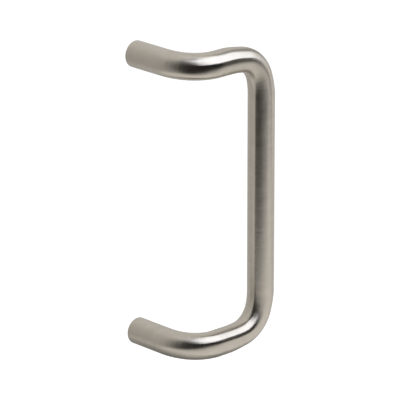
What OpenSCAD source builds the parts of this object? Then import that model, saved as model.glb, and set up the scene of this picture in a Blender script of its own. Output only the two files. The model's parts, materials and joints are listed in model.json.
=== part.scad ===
// Offset door pull: one solid round bar of satin stainless steel, bent in both planes at each end.
// The door's face is the plane y = 0. From each foot a post leaves the door square, turns into a short
// arm that runs sideways along the door, and then turns into the upright grip.
// The origin lies on the door's face, midway between the fixing holes. Z is up, and the arms run to +X.

/* [Bar] */
// Diameter of the round bar
bar_d = 19.05; // [14:0.05:26]

/* [Layout] */
// Distance between the centres of the fixing holes
hole_centres = 203.2; // [150:0.1:450]
// Room for the hand between the door and the back of the grip
hand_clearance = 48; // [36:0.5:90]
// Sideways distance from the fixing holes to the middle of the grip
grip_offset = 65.5; // [60:0.5:150]

/* [Bends] */
// Centreline radius of the bend from post to arm
post_bend_r = 22.2; // [14:0.1:28]
// Centreline radius of the bend from arm to grip
grip_bend_r = 27.1; // [14:0.1:36]

/* [Fixing holes] */
// Tapping diameter of the blind hole in each foot
tap_d = 6.6; // [4:0.1:8]
// Depth of the hole at its full diameter
tap_depth = 25; // [12:0.5:32]
// Included angle of the drill's point
drill_point = 118; // [90:1:140]
// Diameter of the countersunk mouth
mouth_d = 8.2; // [8.1:0.1:11]
// Included angle of the countersink
mouth_angle = 120; // [80:1:140]
// Chamfer around the rim of each foot
foot_chamfer = 0.6; // [0.2:0.1:1.4]

/* [Hidden] */
$fn = 96;

// Lengths are kept to whole micrometres, so that the stretches of bar meet face to face
function whole_microns(length) = round(length * 1000) / 1000;

post_r = whole_microns(post_bend_r);
grip_r = whole_microns(grip_bend_r);
// Door's face to the middle of the grip
stand_off = whole_microns(hand_clearance + bar_d / 2);
// Middle of the grip's height to either fixing hole
half_pitch = whole_microns(hole_centres / 2);
// Straight stretches between the bends
post_run = stand_off - post_r;
arm_run = whole_microns(grip_offset) - post_r - grip_r;
grip_run = 2 * (half_pitch - grip_r);
// Height of the cone that the drill's point leaves
point_depth = tap_d / 2 / tan(drill_point / 2);
// How far each cutter starts outside the foot
overrun = foot_chamfer;

// Straight bar along +Z, and what follows at its far end
module straight(length) {
    cylinder(d = bar_d, h = length);
    translate([0, 0, length]) children();
}

// Quarter turn that starts along +Z and ends along +X, and what follows at its far end
module bend(radius) {
    translate([radius, 0, 0])
        rotate([90, 0, 180])
            rotate_extrude(angle = 90)
                translate([radius, 0]) circle(d = bar_d);
    translate([radius, 0, radius])
        rotate([0, 90, 0]) children();
}

// Rolls the bar about its own length, which sets the plane of the next bend
module roll(angle) {
    rotate([0, 0, angle]) children();
}

// The bar from the top foot to the bottom one, starting along +Z
module bar() {
    straight(post_run)
        bend(post_r)
            straight(arm_run)
                roll(-90) bend(grip_r)
                    straight(grip_run)
                        bend(grip_r)
                            straight(arm_run)
                                roll(90) bend(post_r)
                                    straight(post_run);
}

// Drilled and countersunk hole with its mouth at the origin, running along +Z into the bar
module tapping_hole() {
    mouth_slope = tan(mouth_angle / 2);
    rotate_extrude()
        polygon([
            [0, -overrun],
            [mouth_d / 2 + overrun * mouth_slope, -overrun],
            [tap_d / 2, (mouth_d - tap_d) / 2 / mouth_slope],
            [tap_d / 2, tap_depth],
            [0, tap_depth + point_depth]
        ]);
}

// Ring that takes the sharp edge off the end of the bar
module rim_cutter() {
    rim = bar_d / 2;
    rotate_extrude()
        polygon([
            [rim - foot_chamfer - overrun, -overrun],
            [rim + overrun, -overrun],
            [rim + overrun, foot_chamfer + overrun]
        ]);
}

// Puts what follows at each foot, with +Z pointing from the door into the post
module at_feet() {
    for (side = [1, -1])
        translate([0, 0, side * half_pitch])
            rotate([90, 0, 0]) children();
}

module pull() {
    color([0.60, 0.55, 0.47])
        difference() {
            translate([0, 0, half_pitch])
                rotate([90, 0, 0]) bar();
            at_feet() {
                tapping_hole();
                rim_cutter();
            }
        }
}

pull();
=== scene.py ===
"""Offset door pull: one satin stainless steel bar, bent in both planes at each end and tapped in each foot.

Metres throughout. The door's face is the plane y = 0, the pull stands off towards -Y, its arms run to +X,
and +Z is up.
"""

import json
from math import pi, radians, tan
from typing import NamedTuple

import bpy
import numpy as np
from mathutils import Matrix, Vector


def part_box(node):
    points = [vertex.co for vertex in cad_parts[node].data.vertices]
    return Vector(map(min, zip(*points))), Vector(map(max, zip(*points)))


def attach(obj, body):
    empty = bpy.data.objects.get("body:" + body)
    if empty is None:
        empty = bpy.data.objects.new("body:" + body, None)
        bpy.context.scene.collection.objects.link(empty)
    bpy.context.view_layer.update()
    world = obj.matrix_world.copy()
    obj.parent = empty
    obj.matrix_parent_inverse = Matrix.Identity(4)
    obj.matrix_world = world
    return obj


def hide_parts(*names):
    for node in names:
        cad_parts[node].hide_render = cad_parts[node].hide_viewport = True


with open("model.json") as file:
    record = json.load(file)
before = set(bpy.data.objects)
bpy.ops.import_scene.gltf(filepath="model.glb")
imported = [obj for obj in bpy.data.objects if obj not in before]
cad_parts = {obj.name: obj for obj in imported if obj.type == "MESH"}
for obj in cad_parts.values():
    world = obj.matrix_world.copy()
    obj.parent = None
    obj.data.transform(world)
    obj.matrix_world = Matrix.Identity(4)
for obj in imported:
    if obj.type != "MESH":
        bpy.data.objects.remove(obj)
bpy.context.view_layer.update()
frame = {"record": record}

MM = 0.001


class BendForm(NamedTuple):
    """Centreline radii and angles of a bend's gentle start, tight middle and gentle end.

    The last two are how far cold bending draws in the outside and the inside, as shares of the bar's radius.
    """

    start_r: float
    start_turn: float
    tight_r: float
    end_r: float
    end_turn: float
    outside_flat: float
    inside_flat: float

    def backwards(self):
        """The same bend, met from its other end."""
        return self._replace(start_r=self.end_r, start_turn=self.end_turn,
                             end_r=self.start_r, end_turn=self.start_turn)


class Grain(NamedTuple):
    """Lines that grinding or turning leaves: the broadest one's width, how far they run and their depth."""

    width: float
    length: float
    depth: float


# Sizes that the frame gives
PULL_LOW, PULL_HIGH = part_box("pull")
BAR_R = -PULL_LOW.x
STAND_OFF = -PULL_LOW.y - BAR_R
GRIP_OFFSET = PULL_HIGH.x - BAR_R
HALF_PITCH = PULL_HIGH.z - BAR_R
MOUNTS = {mount["name"]: mount for mount in frame["record"]["mounts"]}
TAP_R = MOUNTS["top_hole"]["dims"]["r_mm"] * MM

# Bends from the post to the arm, and from the arm to the grip
POST_BEND = BendForm(start_r=33.0 * MM, start_turn=radians(25.9), tight_r=20.8 * MM, end_r=19.4 * MM,
                     end_turn=radians(21.5), outside_flat=0.051, inside_flat=0.0)
GRIP_BEND = BendForm(start_r=94.1 * MM, start_turn=radians(9.0), tight_r=22.0 * MM, end_r=47.4 * MM,
                     end_turn=radians(16.6), outside_flat=0.080, inside_flat=0.038)
# Length over which one arc's curvature goes over into the next one's, to either side of their meeting
BEND_RAMP = 0.8 * MM

# Feet: the chamfer around the rim with its rounded edges, and the drilled, countersunk and tapped hole
RIM_CHAMFER = 0.6 * MM
RIM_ROUND = 0.15 * MM
# In shares of RIM_ROUND: a rounded edge's two points, in and out from the edge, and the side's first rings
# past the chamfer
RIM_EDGE = ((0.12, -0.3), (0.6, 0.4))
SIDE_START = (1, 4)
TAP_DEPTH = 25.0 * MM
DRILL_POINT = radians(118)
MOUTH_R = 4.1 * MM
MOUTH_ANGLE = radians(120)
# How far the countersink's last ring and the face's first one keep from the mouth's edge
MOUTH_INSIDE = 0.02 * MM
MOUTH_OUTSIDE = 0.03 * MM
THREAD_PITCH = 25.4 / 18 * MM
THREAD_MAJOR_R = 3.97 * MM
THREAD_RUNOUT = 2 * THREAD_PITCH
# Share of the pitch that is flat at the thread's root, and again at its crest
THREAD_FLAT = 0.1875
# How much of the thread is left half way up the countersink
THREAD_IN_MOUTH = 0.4

# Mesh: points around the bar, the spacing of its rings, and the rings on a foot's parts
AROUND = 120
BEND_STEP = 0.6 * MM
RUN_STEP = 3.0 * MM
RINGS_PER_THREAD = 8
POINT_RINGS = 6
FACE_RINGS = 8
# Radius of the drill point's first ring, as a share of the hole's
POINT_TIP = 0.02
# Rings at the end of a foot's profile that belong to the satin side
SATIN_RINGS = 3
# Samples along a bend and along the whole bar, between which its course is read off
BEND_SAMPLES = 4001
BAR_SAMPLES = 8001

# View: direction to the camera in degrees, how far off it stands, where it aims, and its focal length
VIEW_AZIMUTH = -43.07
VIEW_ELEVATION = 18.52
VIEW_ROLL = -0.07
VIEW_DISTANCE = 2.46
AIM_RIGHT = 0.04465
AIM_UP = -0.0045
FRAME_PIXELS = 400
FOCAL_PIXELS = 3527.0

# Steel: its mirror colour, and the finish of the satin side and of the turned faces. The satin side's grain
# runs around the bar, so reflections spread along it.
STEEL = (0.60, 0.548, 0.468)
SATIN_ROUGHNESS = 0.23
SATIN_ANISOTROPY = 1.0
SATIN_GRAIN = Grain(width=2.4 * MM, length=10 * MM, depth=0.12 * MM)
TURNED_ROUGHNESS = 0.27
TURNED_GRAIN = Grain(width=0.4 * MM, length=20 * MM, depth=0.055 * MM)

# Studio: the floor below the pull, the grey tent round it, and the point that the cards are placed from
FLOOR_Z = -0.35
FLOOR_SIZE = 8.0
FLOOR_GREY = (0.85, 0.85, 0.85, 1)
FLOOR_GLOW = 0.6
TENT_RADIUS = 4.0
# The tent's brightness at its middle height, and what a direction's x, y and z add to it
TENT_LEVEL = 0.638
TENT_LEAN = (0.08, -0.04, 0.12)
CARDS_FROM = (0.032, -0.035, 0.0)
SOFTBOX = dict(azimuth=24.5, elevation=52.8, distance=0.63, width=0.995, height=0.61, roll=-8.0)
WHITE = (1, 1, 1, 1)
COOL_WHITE = (0.92, 0.98, 1.12, 1)
SKY_LEVEL = 0.5


def turn_about(axis, angle):
    """Rotation matrices about one coordinate axis (0 x, 1 y, 2 z), one for each angle of an array."""
    first, second = [(1, 2), (2, 0), (0, 1)][axis]
    turn = np.zeros((len(angle), 3, 3))
    turn[:, axis, axis] = 1
    turn[:, first, first] = np.cos(angle)
    turn[:, second, second] = np.cos(angle)
    turn[:, second, first] = np.sin(angle)
    turn[:, first, second] = -np.sin(angle)
    return turn


def running_sum(values, along):
    """Integral of sampled values from the first sample to each sample, by trapezoids."""
    means = (values[1:] + values[:-1]) / 2
    steps = np.diff(along).reshape((-1,) + (1,) * (values.ndim - 1))
    return np.concatenate([np.zeros_like(values[:1]), np.cumsum(means * steps, axis=0)])


def gradual_step(distance):
    """0 before a place and 1 after it: half a sine wave over BEND_RAMP to either side."""
    return 0.5 + 0.5 * np.sin(pi / 2 * np.clip(distance / BEND_RAMP, -1, 1))


def raised_cosine(share):
    """0 to 1 as the share goes from 0 to 1, level at both ends: half of 1 - cos(pi x share)."""
    return 0.5 - 0.5 * np.cos(pi * share)


class Bend:
    """Quarter turn of the centreline in three arcs, about one axis in one sense.

    The heading is the running sum of the curvature, scaled to end at a quarter turn. The curvature changes
    by a gradual step where two arcs meet.
    """

    def __init__(self, form, axis, sense):
        self.form = form
        self.axis = axis
        self.sense = sense
        tight_turn = pi / 2 - form.start_turn - form.end_turn
        arcs = [form.start_r * form.start_turn, form.tight_r * tight_turn, form.end_r * form.end_turn]
        meetings = np.cumsum([BEND_RAMP, *arcs])
        changes = np.diff([0, 1 / form.start_r, 1 / form.tight_r, 1 / form.end_r, 0])
        self.length = meetings[-1] + BEND_RAMP
        self.samples = np.linspace(0, self.length, BEND_SAMPLES)
        turned = running_sum(gradual_step(self.samples[:, None] - meetings) @ changes, self.samples)
        self.headings = turned * (pi / 2 / turned[-1])
        # distances from the corner of the two straight runs back to the bend's start and on to its end
        self.reach_in = running_sum(np.cos(self.headings), self.samples)[-1]
        self.reach_out = running_sum(np.sin(self.headings), self.samples)[-1]
        self.tight_from, self.tight_to = meetings[1:3]
        self.start = 0.0

    def heading(self, along):
        """Angle turned so far, at lengths along the whole bar."""
        return np.interp(along - self.start, self.samples, self.headings)

    def flattening(self, along):
        """Share of the full flattening at lengths along the whole bar.

        It goes up and down as a raised cosine in the gentle arcs, and is 1 in the tight one.
        """
        rise = np.interp(along - self.start, [0, self.tight_from], [0, 1])
        fall = np.interp(along - self.start, [self.tight_to, self.length], [1, 0])
        return raised_cosine(rise) * raised_cosine(fall)


class Bar:
    """The bar's centreline, from the top foot to the bottom one: a run, and four times a bend and a run.

    The bends turn it about Z from -Y to +X, about Y from +X to -Z, about Y from -Z to -X, and about -Z from
    -X to +Y.
    """

    def __init__(self):
        y_axis, z_axis = 1, 2
        self.bends = [
            Bend(POST_BEND, z_axis, 1),
            Bend(GRIP_BEND, y_axis, 1),
            Bend(GRIP_BEND.backwards(), y_axis, 1),
            Bend(POST_BEND.backwards(), z_axis, -1),
        ]
        post_bend, grip_bend = self.bends[:2]
        post_run = STAND_OFF - post_bend.reach_in
        arm_run = GRIP_OFFSET - post_bend.reach_out - grip_bend.reach_in
        grip_run = 2 * (HALF_PITCH - grip_bend.reach_out)
        end = post_run
        self.stretches = [(0.0, end, RUN_STEP)]
        for bend, run in zip(self.bends, [arm_run, grip_run, arm_run, post_run]):
            bend.start = end
            self.stretches.append((end, end + bend.length, BEND_STEP))
            end += bend.length
            self.stretches.append((end, end + run, RUN_STEP))
            end += run
        self.length = end
        self.samples = np.linspace(0, end, BAR_SAMPLES)
        tangents = self.frames(self.samples)[:, :, 2]
        self.middles = np.array([0, 0, HALF_PITCH]) + running_sum(tangents, self.samples)

    def frames(self, along):
        """Two cross directions and the tangent at each length, as columns.

        They are the top foot's, turned by the bends' headings.
        """
        frames = np.array([[1.0, 0, 0], [0, 0, -1.0], [0, 1.0, 0]])[None]
        for bend in self.bends:
            frames = turn_about(bend.axis, bend.sense * bend.heading(along)) @ frames
        return frames

    def centres(self, along):
        """Points of the centreline, which is the running sum of its tangent."""
        return np.stack([np.interp(along, self.samples, self.middles[:, i]) for i in range(3)], axis=1)

    def side_lengths(self, margin):
        """Lengths along the bar at which its side has a ring, margin clear of either foot."""
        steps = [np.linspace(start, end, max(2, round((end - start) / step)), endpoint=False)
                 for start, end, step in self.stretches]
        along = np.concatenate(steps)
        return along[(along > margin) & (along < self.length - margin)]


def profile_rows(depth, radius, carried):
    """Rows of a profile: the depth into the bar, the radius, and how much of the thread the ring carries."""
    return np.stack(np.broadcast_arrays(depth, radius, carried), axis=1)


def foot_profile():
    """Half section of a foot, from the drill's point out to the bar's side, in straight stretches.

    They are the point's cone, the tapped bore, the countersink, the face, the chamfer with its rounded
    edges, and the start of the side.
    """
    mouth_depth = (MOUTH_R - TAP_R) / tan(MOUTH_ANGLE / 2)
    point_depth = TAP_R / tan(DRILL_POINT / 2)
    share = np.linspace(POINT_TIP, 1, POINT_RINGS)
    point = profile_rows(TAP_DEPTH + point_depth * (1 - share), TAP_R * share, 0)
    turns = (TAP_DEPTH - mouth_depth) / THREAD_PITCH
    depth = np.linspace(TAP_DEPTH, mouth_depth, round(turns * RINGS_PER_THREAD))[1:]
    bore = profile_rows(depth, TAP_R, np.clip((TAP_DEPTH - THREAD_RUNOUT - depth) / THREAD_RUNOUT, 0, 1))
    mouth = profile_rows([mouth_depth / 2, MOUTH_INSIDE], [(TAP_R + MOUTH_R) / 2, MOUTH_R - MOUTH_INSIDE],
                         [THREAD_IN_MOUTH, 0])
    face_edge = BAR_R - RIM_CHAMFER
    face = profile_rows(0, np.linspace(MOUTH_R + MOUTH_OUTSIDE, face_edge - RIM_ROUND, FACE_RINGS), 0)
    inward, outward = RIM_ROUND * np.array(RIM_EDGE).T
    chamfer_start = profile_rows(inward, face_edge + outward, 0)
    chamfer_end = profile_rows(RIM_CHAMFER - outward[::-1], BAR_R - inward[::-1], 0)
    side = profile_rows(RIM_CHAMFER + RIM_ROUND * np.array(SIDE_START), BAR_R, 0)
    return np.concatenate([point, bore, mouth, face, chamfer_start, chamfer_end, side])


def pull_profile(bar):
    """Rows for the whole bar, and which rings are machined.

    They are the top foot's, the side's, and the foot's again the other way round, from the bar's far end.
    """
    foot = foot_profile()
    side = profile_rows(bar.side_lengths(foot[-1, 0] + RIM_ROUND), BAR_R, 0)
    far_foot = (foot * (-1, 1, 1) + (bar.length, 0, 0))[::-1]
    rows = np.concatenate([foot, side, far_foot])
    foot_rings = len(foot) - SATIN_RINGS
    machined = np.ones(len(rows), bool)
    machined[foot_rings:-foot_rings] = False
    return rows, machined


def thread_groove(along, angle):
    """Depth of the thread, 0 to 1: a V wave of length / pitch - angle / 2 pi, flat at root and crest."""
    phase = (along / THREAD_PITCH - angle / (2 * pi)) % 1
    return np.clip((0.5 - THREAD_FLAT / 2 - np.abs(phase - 0.5)) / (0.5 - THREAD_FLAT), 0, 1)


def radius_left(bend, along, tangents, out):
    """Share of the radius that a bend leaves: 1 - flat x its flattening x c squared.

    c is the cosine of the angle to the bend's outside. flat is the outside's share where c is positive, and
    the inside's elsewhere.
    """
    outside = np.cross(tangents, bend.sense * np.eye(3)[bend.axis])
    towards = (out * outside[:, None]).sum(axis=2)
    flat = np.where(towards > 0, bend.form.outside_flat, bend.form.inside_flat)
    return 1 - flat * bend.flattening(along)[:, None] * towards**2


def pull_surface():
    """The whole pull as one closed tube, from one drill point round to the other.

    A point is the centreline's plus radius x (cos angle x first cross direction + sin angle x second one).
    The radius is its row's, plus the thread's groove, times what the bends leave.
    Returns rings x angles x xyz, the same on the bar made straight, and which rings are machined.
    """
    bar = Bar()
    rows, machined = pull_profile(bar)
    along = rows[:, 0]
    angle = 2 * pi * np.arange(AROUND) / AROUND
    frames = bar.frames(along)
    out = np.cos(angle)[:, None] * frames[:, None, :, 0] + np.sin(angle)[:, None] * frames[:, None, :, 1]
    groove = thread_groove(along[:, None], angle)
    radius = rows[:, 1, None] + rows[:, 2, None] * groove * (THREAD_MAJOR_R - TAP_R)
    for bend in bar.bends:
        radius = radius * radius_left(bend, along, frames[:, :, 2], out)
    rings = bar.centres(along)[:, None] + radius[..., None] * out
    lengths = np.broadcast_to(along[:, None], radius.shape)
    straight = np.stack([radius * np.cos(angle), radius * np.sin(angle), lengths], axis=2)
    return rings, straight, machined


def ring_points(rings):
    """Points of all rings in turn, and then the middle of the first ring and of the last."""
    return np.concatenate([rings.reshape(-1, 3), rings[[0, -1]].mean(axis=1)])


def closed_tube(name, rings):
    """Mesh with quads from ring to ring and, at each end, a fan of triangles to the end ring's middle."""
    count, around = rings.shape[:2]
    column = np.arange(around)
    beside = (column + 1) % around
    row = around * np.arange(count - 1)[:, None]
    quads = np.stack([row + column, row + beside, row + around + beside, row + around + column], axis=2)
    first_middle, last_middle = count * around, count * around + 1
    last_ring = (count - 1) * around
    first_fan = np.stack([first_middle + 0 * column, beside, column], axis=1)
    last_fan = np.stack([last_middle + 0 * column, last_ring + column, last_ring + beside], axis=1)
    mesh = bpy.data.meshes.new(name)
    faces = quads.reshape(-1, 4).tolist() + first_fan.tolist() + last_fan.tolist()
    mesh.from_pydata(ring_points(rings).tolist(), [], faces)
    return mesh


def pull_mesh(rings, straight, machined, materials):
    """The pull's mesh, with the first material on its side and the second between machined rings.

    Its UV map runs along the bar and then around it. Attribute bar_place is the point on the straight bar.
    """
    count, around = rings.shape[:2]
    mesh = closed_tube("door_pull", rings)
    for material in materials:
        mesh.materials.append(material)
    first_ring = np.repeat([*range(count - 1), 0, count - 2], around)
    on_machined = machined[first_ring] & machined[first_ring + 1]
    mesh.polygons.foreach_set("material_index", on_machined.astype(np.int32))
    mesh.polygons.foreach_set("use_smooth", np.ones(len(mesh.polygons), bool))
    corner = np.zeros(len(mesh.loops), np.int32)
    mesh.loops.foreach_get("vertex_index", corner)
    turn = (corner % around) / around
    # the last column of quads ends where the first begins, one whole turn on
    quad_turn = turn[:4 * (count - 1) * around].reshape(-1, around, 4)
    quad_turn[:, -1, 1:3] = 1.0
    places = ring_points(straight)
    uv = np.stack([places[corner, 2], turn * 2 * pi * BAR_R], axis=1)
    layer = mesh.uv_layers.new(name="bar_map")
    layer.data.foreach_set("uv", uv.astype(np.float32).ravel())
    attribute = mesh.attributes.new("bar_place", "FLOAT_VECTOR", "POINT")
    attribute.data.foreach_set("vector", places.astype(np.float32).ravel())
    mesh.update()
    return mesh


class Nodes:
    """Adds nodes to a tree and links what they are given."""

    def __init__(self, tree):
        self.tree = tree

    def put(self, socket, value):
        """Links a socket's output, or sets a plain value."""
        if isinstance(value, bpy.types.NodeSocket):
            self.tree.links.new(value, socket)
        else:
            socket.default_value = value

    def add(self, kind, inputs=None, **settings):
        """New node of a kind, with attributes set and inputs given by name or number."""
        node = self.tree.nodes.new(kind)
        for name, value in settings.items():
            setattr(node, name, value)
        for name, value in (inputs or {}).items():
            self.put(node.inputs[name], value)
        return node

    def group(self, tree, inputs):
        """Outputs of a new group node."""
        node = self.add("ShaderNodeGroup", node_tree=tree)
        for name, value in inputs.items():
            self.put(node.inputs[name], value)
        return node.outputs

    def math(self, operation, *values):
        """Output of a Math node."""
        return self.add("ShaderNodeMath", dict(enumerate(values)), operation=operation).outputs[0]

    def ramp(self, value, low, high, low_to, high_to, smooth=False):
        """Value mapped from low..high to low_to..high_to and held outside it."""
        inputs = {"Value": value, "From Min": low, "From Max": high, "To Min": low_to, "To Max": high_to}
        kind = "SMOOTHSTEP" if smooth else "LINEAR"
        return self.add("ShaderNodeMapRange", inputs, interpolation_type=kind).outputs["Result"]


def new_material(name):
    """Empty material, its nodes and the input that takes its surface."""
    material = bpy.data.materials.new(name)
    material.use_nodes = True
    material.node_tree.nodes.clear()
    output = material.node_tree.nodes.new("ShaderNodeOutputMaterial")
    return material, Nodes(material.node_tree), output.inputs["Surface"]


def new_group(name, inputs, outputs):
    """Shader node group with named inputs and outputs: name, socket type and default."""
    tree = bpy.data.node_groups.new(name, "ShaderNodeTree")
    for label, kind, default in inputs:
        tree.interface.new_socket(label, in_out="INPUT", socket_type=kind).default_value = default
    for label, kind in outputs:
        tree.interface.new_socket(label, in_out="OUTPUT", socket_type=kind)
    given = tree.nodes.new("NodeGroupInput").outputs
    result = tree.nodes.new("NodeGroupOutput").inputs
    return tree, Nodes(tree), given, result


def steel_cloud_group():
    """Soft clouds a few millimetres across in the steel's colour and roughness, such as handling leaves."""
    tree, nodes, given, result = new_group(
        "steel_cloud",
        [("Place", "NodeSocketVector", (0, 0, 0)), ("Colour", "NodeSocketColor", (*STEEL, 1)),
         ("Roughness", "NodeSocketFloat", SATIN_ROUGHNESS), ("Line", "NodeSocketFloat", 0.5),
         ("Tone Amount", "NodeSocketFloat", 0.18), ("Roughness Amount", "NodeSocketFloat", 0.05)],
        [("Colour", "NodeSocketColor"), ("Roughness", "NodeSocketFloat")])
    cloud = nodes.add("ShaderNodeTexNoise", {"Vector": given["Place"], "Scale": 160.0, "Detail": 3.0})
    both = nodes.math("ADD", cloud.outputs["Fac"], given["Line"])
    wander = nodes.math("SUBTRACT", both, 1.0)
    gain = nodes.math("MULTIPLY_ADD", wander, given["Tone Amount"], 1.0)
    colour = nodes.add("ShaderNodeVectorMath", {"Vector": given["Colour"], "Scale": gain}, operation="SCALE")
    roughness = nodes.math("MULTIPLY_ADD", wander, given["Roughness Amount"], given["Roughness"])
    nodes.put(result["Colour"], colour.outputs["Vector"])
    nodes.put(result["Roughness"], roughness)
    return tree


def grain_lines_group():
    """Lines that grinding or turning leaves: noise, quick in one coordinate and slow in the others.

    Across is that coordinate in metres, and Width the broadest line's. Place and Length break the lines up.
    """
    tree, nodes, given, result = new_group(
        "grain_lines",
        [("Across", "NodeSocketFloat", 0.0), ("Place", "NodeSocketVector", (0, 0, 0)),
         ("Width", "NodeSocketFloat", SATIN_GRAIN.width), ("Length", "NodeSocketFloat", SATIN_GRAIN.length)],
        [("Line", "NodeSocketFloat")])
    across = nodes.math("DIVIDE", given["Across"], given["Width"])
    per_length = nodes.math("DIVIDE", 1.0, given["Length"])
    slow = nodes.add("ShaderNodeVectorMath", {"Vector": given["Place"], "Scale": per_length},
                     operation="SCALE")
    lines = nodes.add("ShaderNodeTexNoise", {
        "Vector": slow.outputs["Vector"], "W": across, "Scale": 1.0, "Detail": 5.0, "Roughness": 0.6,
    }, noise_dimensions="4D")
    nodes.put(result["Line"], lines.outputs["Fac"])
    return tree


def steel(name, groups, grain, roughness, anisotropy, turned):
    """Steel whose lines run around the bar on its side, or in circles round the hole on a turned face."""
    material, nodes, surface = new_material(name)
    cloud_group, lines_group = groups
    place = nodes.add("ShaderNodeAttribute", attribute_name="bar_place").outputs["Vector"]
    split = nodes.add("ShaderNodeSeparateXYZ", {"Vector": place}).outputs
    across = split["Z"]
    if turned:
        square = nodes.math("MULTIPLY", split["Y"], split["Y"])
        across = nodes.math("SQRT", nodes.math("MULTIPLY_ADD", split["X"], split["X"], square))
    line = nodes.group(lines_group, {
        "Place": place, "Across": across, "Width": grain.width, "Length": grain.length})["Line"]
    cloud = nodes.group(cloud_group, {"Place": place, "Line": line, "Roughness": roughness})
    bump = nodes.add("ShaderNodeBump", {"Height": line, "Strength": 1.0, "Distance": grain.depth})
    shader = nodes.add("ShaderNodeBsdfPrincipled", {
        "Base Color": cloud["Colour"], "Roughness": cloud["Roughness"], "Metallic": 1.0,
        "Anisotropic": anisotropy, "Normal": bump.outputs["Normal"]})
    if not turned:
        tangent = nodes.add("ShaderNodeTangent", direction_type="UV_MAP", uv_map="bar_map")
        nodes.put(shader.inputs["Tangent"], tangent.outputs["Tangent"])
    nodes.put(surface, shader.outputs["BSDF"])
    return material


def add_object(name, data):
    """New object at the origin for a mesh, lamp or camera."""
    thing = bpy.data.objects.new(name, data)
    bpy.context.scene.collection.objects.link(thing)
    return thing


def build_pull():
    groups = (steel_cloud_group(), grain_lines_group())
    satin = steel("satin_steel", groups, SATIN_GRAIN, SATIN_ROUGHNESS, SATIN_ANISOTROPY, turned=False)
    turned = steel("turned_steel", groups, TURNED_GRAIN, TURNED_ROUGHNESS, 0.0, turned=True)
    pull = add_object("door_pull", pull_mesh(*pull_surface(), [satin, turned]))
    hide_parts("pull")
    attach(pull, "root")


def facing_axes(azimuth, elevation, roll):
    """Right, up and outward directions of what faces the pull, where outward points away from the pull.

    Outward is -Y, turned by the azimuth towards +X and by the elevation towards +Z.
    """
    azimuth, elevation, roll = radians(azimuth), radians(elevation), radians(roll)
    flat = np.cos(elevation)
    outward = np.array([np.sin(azimuth) * flat, -np.cos(azimuth) * flat, np.sin(elevation)])
    level = np.array([np.cos(azimuth), np.sin(azimuth), 0])
    rise = np.cross(outward, level)
    return level * np.cos(roll) + rise * np.sin(roll), rise * np.cos(roll) - level * np.sin(roll), outward


def stand(thing, place, axes):
    """Puts a camera or lamp at a place, facing against the last of its right, up and outward directions."""
    turn = Matrix(np.stack(axes, axis=1).tolist()).to_4x4()
    thing.matrix_world = Matrix.Translation(Vector(place)) @ turn


def add_camera():
    right, up, outward = facing_axes(VIEW_AZIMUTH, VIEW_ELEVATION, VIEW_ROLL)
    data = bpy.data.cameras.new("view")
    data.lens = FOCAL_PIXELS * data.sensor_width / FRAME_PIXELS
    camera = add_object("view", data)
    stand(camera, outward * VIEW_DISTANCE + right * AIM_RIGHT + up * AIM_UP, (right, up, outward))
    bpy.context.scene.camera = camera


def seen_directly(nodes):
    """1 for rays from the camera, mirror rays and rays through glass, 0 for soft light."""
    path = nodes.add("ShaderNodeLightPath").outputs
    seen = nodes.math("MAXIMUM", path["Is Camera Ray"], path["Is Glossy Ray"])
    return nodes.math("MAXIMUM", seen, path["Is Transmission Ray"])


def add_world():
    """White where it is seen, and a plain even light for everything else."""
    world = bpy.data.worlds.new("studio")
    bpy.context.scene.world = world
    world.use_nodes = True
    nodes = Nodes(world.node_tree)
    background = world.node_tree.nodes["Background"]
    nodes.put(background.inputs["Color"], WHITE)
    nodes.put(background.inputs["Strength"], nodes.ramp(seen_directly(nodes), 0.0, 1.0, SKY_LEVEL, 1.0))


def add_floor():
    """Pale floor that keeps the pull's shadow, is white away from it, and lets a view from below through."""
    material, nodes, surface = new_material("floor_white")
    glow = nodes.math("MULTIPLY", seen_directly(nodes), FLOOR_GLOW)
    shader = nodes.add("ShaderNodeBsdfPrincipled", {
        "Base Color": FLOOR_GREY, "Roughness": 0.9, "Emission Color": WHITE, "Emission Strength": glow})
    clear = nodes.add("ShaderNodeBsdfTransparent").outputs["BSDF"]
    below = nodes.add("ShaderNodeNewGeometry").outputs["Backfacing"]
    mix = nodes.add("ShaderNodeMixShader", {0: below, 1: shader.outputs["BSDF"], 2: clear})
    nodes.put(surface, mix.outputs["Shader"])
    half = FLOOR_SIZE / 2
    corners = [(x, y, FLOOR_Z) for x, y in [(-half, -half), (half, -half), (half, half), (-half, half)]]
    mesh = bpy.data.meshes.new("floor")
    mesh.from_pydata(corners, [], [(0, 1, 2, 3)])
    mesh.materials.append(material)
    floor = add_object("floor", mesh)
    floor.visible_glossy = False


def add_mirrored(name, mesh, material):
    """Stage piece that mirror rays alone see: it casts no shadow and gives no soft light."""
    mesh.materials.append(material)
    thing = add_object(name, mesh)
    thing.visible_camera = False
    thing.visible_diffuse = False
    thing.visible_transmission = False
    thing.visible_volume_scatter = False
    thing.visible_shadow = False


def add_tent():
    """Grey tent round the whole studio: a ball of level rings, whose brightness changes evenly across it.

    A point is radius x (sin tilt x cos turn, sin tilt x sin turn, cos tilt).
    """
    around, rings = 48, 24
    turn = 2 * pi * np.arange(around) / around
    tilt = pi * (np.arange(rings)[:, None] + 0.5) / rings
    height = np.cos(tilt) + 0 * turn
    ball = np.stack([np.sin(tilt) * np.cos(turn), np.sin(tilt) * np.sin(turn), height], axis=2)
    material, nodes, surface = new_material("tent_grey")
    place = nodes.add("ShaderNodeTexCoord").outputs["Object"]
    lean = tuple(value / TENT_RADIUS for value in TENT_LEAN)
    along = nodes.add("ShaderNodeVectorMath", {0: place, 1: lean}, operation="DOT_PRODUCT").outputs["Value"]
    level = nodes.math("ADD", along, TENT_LEVEL)
    glow = nodes.add("ShaderNodeEmission", {"Color": WHITE, "Strength": level})
    nodes.put(surface, glow.outputs["Emission"])
    add_mirrored("tent", closed_tube("tent", TENT_RADIUS * ball), material)


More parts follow.
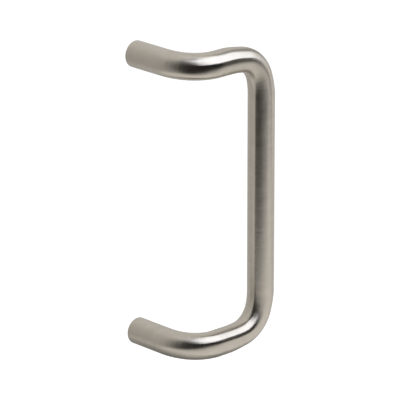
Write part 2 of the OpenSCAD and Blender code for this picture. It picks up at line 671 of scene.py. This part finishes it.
def add_card(name, azimuth, elevation, distance, width, height, roll, fades, strength, colour=WHITE):
    """Flat card facing the pull, on which strength 1 shows as white.

    Its edges fade out by a smooth step, from fade / 2 inside the card's size to fade / 2 outside it. The
    fades are its sides', its top's and its bottom's.
    """
    right, up, outward = facing_axes(azimuth, elevation, roll)
    middle = np.array(CARDS_FROM) + outward * distance
    side_fade, top_fade, bottom_fade = fades
    side, top, bottom = (width + side_fade) / 2, (height + top_fade) / 2, -(height + bottom_fade) / 2
    corners = np.array([(-side, bottom), (side, bottom), (side, top), (-side, top)])
    mesh = bpy.data.meshes.new(name)
    mesh.from_pydata([(middle + right * x + up * y).tolist() for x, y in corners], [], [(0, 1, 2, 3)])
    layer = mesh.uv_layers.new(name="card_map")
    layer.data.foreach_set("uv", corners.astype(np.float32).ravel())
    material, nodes, surface = new_material(name + "_card")
    place = nodes.add("ShaderNodeUVMap", uv_map="card_map").outputs["UV"]
    split = nodes.add("ShaderNodeSeparateXYZ", {"Vector": place}).outputs
    edges = [(nodes.math("ABSOLUTE", split["X"]), width, side_fade), (split["Y"], height, top_fade),
             (nodes.math("MULTIPLY", split["Y"], -1.0), height, bottom_fade)]
    share = 1.0
    for from_middle, size, fade in edges:
        inside = nodes.ramp(from_middle, (size - fade) / 2, (size + fade) / 2, 1.0, 0.0, smooth=True)
        share = nodes.math("MULTIPLY", inside, share)
    glow = nodes.add("ShaderNodeEmission", {"Color": colour, "Strength": strength}).outputs["Emission"]
    clear = nodes.add("ShaderNodeBsdfTransparent").outputs["BSDF"]
    mix = nodes.add("ShaderNodeMixShader", {0: share, 1: clear, 2: glow})
    nodes.put(surface, mix.outputs["Shader"])
    add_mirrored(name + "_card", mesh, material)


def add_softbox_lamp(azimuth, elevation, distance, width, height, roll, radiance):
    """Area lamp where the softbox card is, for the light on the floor. The card is what steel mirrors."""
    axes = facing_axes(azimuth, elevation, roll)
    data = bpy.data.lights.new("softbox", "AREA")
    data.shape = "RECTANGLE"
    data.size = width
    data.size_y = height
    data.energy = radiance * pi * width * height
    lamp = add_object("softbox", data)
    stand(lamp, np.array(CARDS_FROM) + axes[2] * distance, axes)
    lamp.visible_glossy = False
    lamp.visible_camera = False


build_pull()
add_camera()
add_world()
add_floor()
add_tent()
add_card("softbox", **SOFTBOX, fades=(0.2, 0.08, 0.08), strength=1.98, colour=COOL_WHITE)
add_card("lens_side_dark", azimuth=-21.2, elevation=10.6, distance=0.88, width=5.0, height=10.0, roll=-59.6,
         fades=(2.5, 1.6, 2.5), strength=0.02)
add_card("front_fill", azimuth=-3.0, elevation=-67.0, distance=0.177, width=0.96, height=0.30, roll=41.5,
         fades=(0.44, 0.27, 0.12), strength=0.85)
add_card("under_dark", azimuth=220.0, elevation=-85.0, distance=0.164, width=0.18, height=0.075, roll=78.0,
         fades=(0.13, 0.14, 0.14), strength=0.0)
add_card("side_dark", azimuth=103.5, elevation=19.0, distance=0.14, width=0.04, height=0.455, roll=11.0,
         fades=(0.04, 0.05, 0.05), strength=0.37)
add_softbox_lamp(**SOFTBOX, radiance=1.0)
bpy.context.scene.view_settings.view_transform = "Standard"
